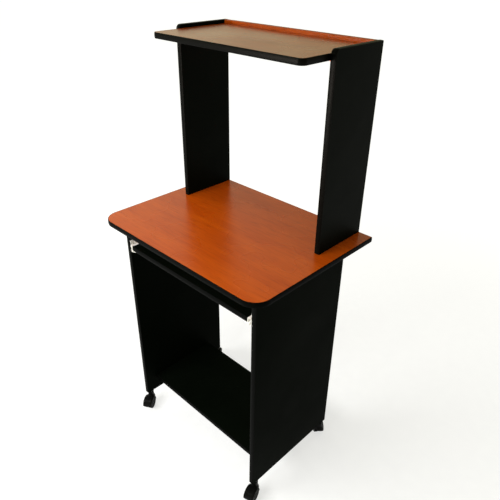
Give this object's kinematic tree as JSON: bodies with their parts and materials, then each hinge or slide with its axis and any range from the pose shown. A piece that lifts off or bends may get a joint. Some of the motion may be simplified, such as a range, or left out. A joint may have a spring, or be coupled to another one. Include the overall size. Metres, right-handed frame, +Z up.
{
  "type": "computer desk",
  "caption": "Narrow multi-level computer desk: desktop with shelf hutch, sliding keyboard tray, low shelf and swivel casters.",
  "frame": {"origin": "on the floor, under the middle of the desktop", "axes": "+Z up, the user sits on the -Y side, +X to the right as the user's view goes along +Y"},
  "size_m": [0.61, 0.45, 1.235],
  "materials": {
    "cherry_laminate": "satin cherry-coloured laminate with a fine grain",
    "black_laminate": "smooth black laminate",
    "black_edge_band": "soft black plastic with a low sheen",
    "cherry_edge_band": "cherry-coloured plastic in the board's tone",
    "white_rail": "off-white powder coat",
    "nylon": "natural white nylon",
    "steel": "zinc-plated steel",
    "zinc": "dull die-cast zinc",
    "beech": "plain beech dowel",
    "caster_hood": "black moulded plastic with a slight gloss",
    "caster_wheel": "black moulded plastic"
  },
  "bodies": {
    "desk": {"desktop": "cherry_laminate", "desktop_band": "black_edge_band", "left_side_panel": "black_laminate", "right_side_panel": "black_laminate", "left_panel_band": "black_edge_band", "right_panel_band": "black_edge_band", "rear_stretcher": "black_laminate", "low_shelf": "black_laminate", "low_shelf_band": "black_edge_band", "left_upright": "black_laminate", "right_upright": "black_laminate", "left_upright_band": "black_edge_band", "right_upright_band": "black_edge_band", "top_shelf": "cherry_laminate", "top_shelf_band": "black_edge_band", "hutch_rail": "cherry_laminate", "hutch_rail_band": "cherry_edge_band", "left_cabinet_rail": "white_rail", "right_cabinet_rail": "white_rail", "cam_bolts": "steel", "cam_locks": "zinc", "dowels": "beech", "upright_screws": "steel", "cabinet_rail_screws": "steel", "front_left_sleeve": "zinc", "front_right_sleeve": "zinc", "rear_left_sleeve": "zinc", "rear_right_sleeve": "zinc"},
    "tray": {"keyboard_tray": "black_laminate", "keyboard_tray_band": "black_edge_band", "left_tray_rail": "white_rail", "right_tray_rail": "white_rail", "tray_rail_screws": "steel"},
    "left_front_roller_wheel": {"left_front_roller": "nylon"},
    "left_rear_roller_wheel": {"left_rear_roller": "nylon"},
    "right_front_roller_wheel": {"right_front_roller": "nylon"},
    "right_rear_roller_wheel": {"right_rear_roller": "nylon"},
    "front_left_caster": {"front_left_hood": "caster_hood", "front_left_stem": "steel", "front_left_axle": "steel"},
    "front_left_wheel_a": {"front_left_wheel_a": "caster_wheel"},
    "front_left_wheel_b": {"front_left_wheel_b": "caster_wheel"},
    "front_right_caster": {"front_right_hood": "caster_hood", "front_right_stem": "steel", "front_right_axle": "steel"},
    "front_right_wheel_a": {"front_right_wheel_a": "caster_wheel"},
    "front_right_wheel_b": {"front_right_wheel_b": "caster_wheel"},
    "rear_left_caster": {"rear_left_hood": "caster_hood", "rear_left_stem": "steel", "rear_left_axle": "steel"},
    "rear_left_wheel_a": {"rear_left_wheel_a": "caster_wheel"},
    "rear_left_wheel_b": {"rear_left_wheel_b": "caster_wheel"},
    "rear_right_caster": {"rear_right_hood": "caster_hood", "rear_right_stem": "steel", "rear_right_axle": "steel"},
    "rear_right_wheel_a": {"rear_right_wheel_a": "caster_wheel"},
    "rear_right_wheel_b": {"rear_right_wheel_b": "caster_wheel"}
  },
  "joints": [
    {"name": "tray_slide", "type": "slide", "parent": "desk", "child": "tray", "axis": [0, -1, 0], "range_m": [0, 0.225]},
    {"name": "left_front_roller_turn", "type": "hinge", "parent": "desk", "child": "left_front_roller_wheel", "pos_m": [-0.2407, -0.162, 0.647], "axis": [1, 0, 0], "continuous": true},
    {"name": "left_rear_roller_turn", "type": "hinge", "parent": "tray", "child": "left_rear_roller_wheel", "pos_m": [-0.2407, 0.11, 0.647], "axis": [1, 0, 0], "continuous": true},
    {"name": "right_front_roller_turn", "type": "hinge", "parent": "desk", "child": "right_front_roller_wheel", "pos_m": [0.2407, -0.162, 0.647], "axis": [1, 0, 0], "continuous": true},
    {"name": "right_rear_roller_turn", "type": "hinge", "parent": "tray", "child": "right_rear_roller_wheel", "pos_m": [0.2407, 0.11, 0.647], "axis": [1, 0, 0], "continuous": true},
    {"name": "front_left_swivel", "type": "hinge", "parent": "desk", "child": "front_left_caster", "pos_m": [-0.2545, -0.162, 0.061], "axis": [0, 0, 1], "continuous": true},
    {"name": "front_left_wheel_a_spin", "type": "hinge", "parent": "front_left_caster", "child": "front_left_wheel_a", "pos_m": [-0.2455, -0.17759, 0.02], "axis": [-0.866, -0.5, 0], "continuous": true},
    {"name": "front_left_wheel_b_spin", "type": "hinge", "parent": "front_left_caster", "child": "front_left_wheel_b", "pos_m": [-0.2455, -0.17759, 0.02], "axis": [-0.866, -0.5, 0], "continuous": true},
    {"name": "front_right_swivel", "type": "hinge", "parent": "desk", "child": "front_right_caster", "pos_m": [0.2545, -0.162, 0.061], "axis": [0, 0, 1], "continuous": true},
    {"name": "front_right_wheel_a_spin", "type": "hinge", "parent": "front_right_caster", "child": "front_right_wheel_a", "pos_m": [0.25916, -0.17939, 0.02], "axis": [-0.9659, -0.2588, 0], "continuous": true},
    {"name": "front_right_wheel_b_spin", "type": "hinge", "parent": "front_right_caster", "child": "front_right_wheel_b", "pos_m": [0.25916, -0.17939, 0.02], "axis": [-0.9659, -0.2588, 0], "continuous": true},
    {"name": "rear_left_swivel", "type": "hinge", "parent": "desk", "child": "rear_left_caster", "pos_m": [-0.2545, 0.148, 0.061], "axis": [0, 0, 1], "continuous": true},
    {"name": "rear_left_wheel_a_spin", "type": "hinge", "parent": "rear_left_caster", "child": "rear_left_wheel_a", "pos_m": [-0.26482, 0.16275, 0.02], "axis": [0.8192, 0.5736, 0], "continuous": true},
    {"name": "rear_left_wheel_b_spin", "type": "hinge", "parent": "rear_left_caster", "child": "rear_left_wheel_b", "pos_m": [-0.26482, 0.16275, 0.02], "axis": [0.8192, 0.5736, 0], "continuous": true},
    {"name": "rear_right_swivel", "type": "hinge", "parent": "desk", "child": "rear_right_caster", "pos_m": [0.2545, 0.148, 0.061], "axis": [0, 0, 1], "continuous": true},
    {"name": "rear_right_wheel_a_spin", "type": "hinge", "parent": "rear_right_caster", "child": "rear_right_wheel_a", "pos_m": [0.24071, 0.15957, 0.02], "axis": [0.6428, 0.766, 0], "continuous": true},
    {"name": "rear_right_wheel_b_spin", "type": "hinge", "parent": "rear_right_caster", "child": "rear_right_wheel_b", "pos_m": [0.24071, 0.15957, 0.02], "axis": [0.6428, 0.766, 0], "continuous": true}
  ],
  "couplings": [
    {"joint": "left_front_roller_turn", "follows": "tray_slide", "rad_per_m": 105.26},
    {"joint": "left_rear_roller_turn", "follows": "tray_slide", "rad_per_m": 105.26},
    {"joint": "right_front_roller_turn", "follows": "tray_slide", "rad_per_m": 105.26},
    {"joint": "right_rear_roller_turn", "follows": "tray_slide", "rad_per_m": 105.26}
  ]
}
